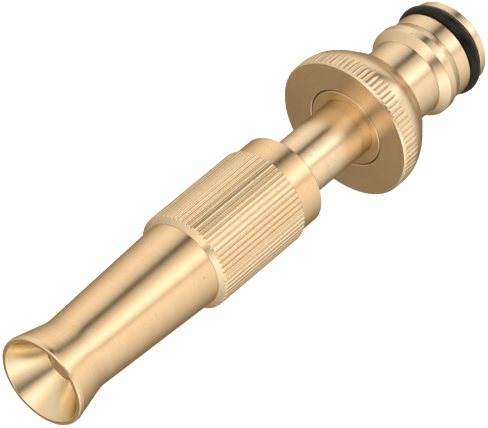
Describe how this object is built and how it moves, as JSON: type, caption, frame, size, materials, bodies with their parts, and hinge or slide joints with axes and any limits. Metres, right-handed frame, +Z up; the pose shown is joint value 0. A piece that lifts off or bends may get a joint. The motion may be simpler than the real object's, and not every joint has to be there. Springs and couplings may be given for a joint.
{
  "type": "hose spray nozzle",
  "caption": "Brass hose spray nozzle: a knurled sleeve and tapered barrel screw along a fixed stem to shut or open the jet, on a snap-in coupling.",
  "frame": {"origin": "centre of the water way at the inlet end face of the coupling nipple", "axes": "+X along the nozzle's axis, the way the water leaves; +Z up, with the nozzle lying level; every main piece is turned about X"},
  "size_m": [0.1058, 0.0262, 0.0262],
  "materials": {
    "brass": "pale satin brass with fine turning marks",
    "knurled_brass": "pale satin brass with bright knurl crests",
    "bush_brass": "darker turned brass",
    "black_rubber": "smooth black nitrile rubber, slightly greased"
  },
  "bodies": {
    "stem": {"coupling_body": "knurled_brass", "coupling_seal_ring": "black_rubber", "stem_bush": "bush_brass", "bush_washer": "black_rubber", "stem_tube": "brass", "stem_seal_ring": "black_rubber", "spray_plug": "brass", "plug_seal_ring": "black_rubber"},
    "gland": {"gland_seal_ring": "black_rubber"},
    "sleeve": {"gland_nut": "brass", "grip_sleeve": "knurled_brass", "barrel_seal_ring": "black_rubber", "outlet_barrel": "brass"}
  },
  "joints": [
    {"name": "sleeve_travel", "type": "slide", "parent": "stem", "child": "gland", "axis": [1, 0, 0], "range_m": [0, 0.004]},
    {"name": "sleeve_turn", "type": "hinge", "parent": "gland", "child": "sleeve", "pos_m": [0.06, 0, 0], "axis": [1, 0, 0], "range_deg": [0, 720]}
  ],
  "couplings": [
    {"joint": "sleeve_turn", "follows": "sleeve_travel", "rad_per_m": 3141.6}
  ]
}
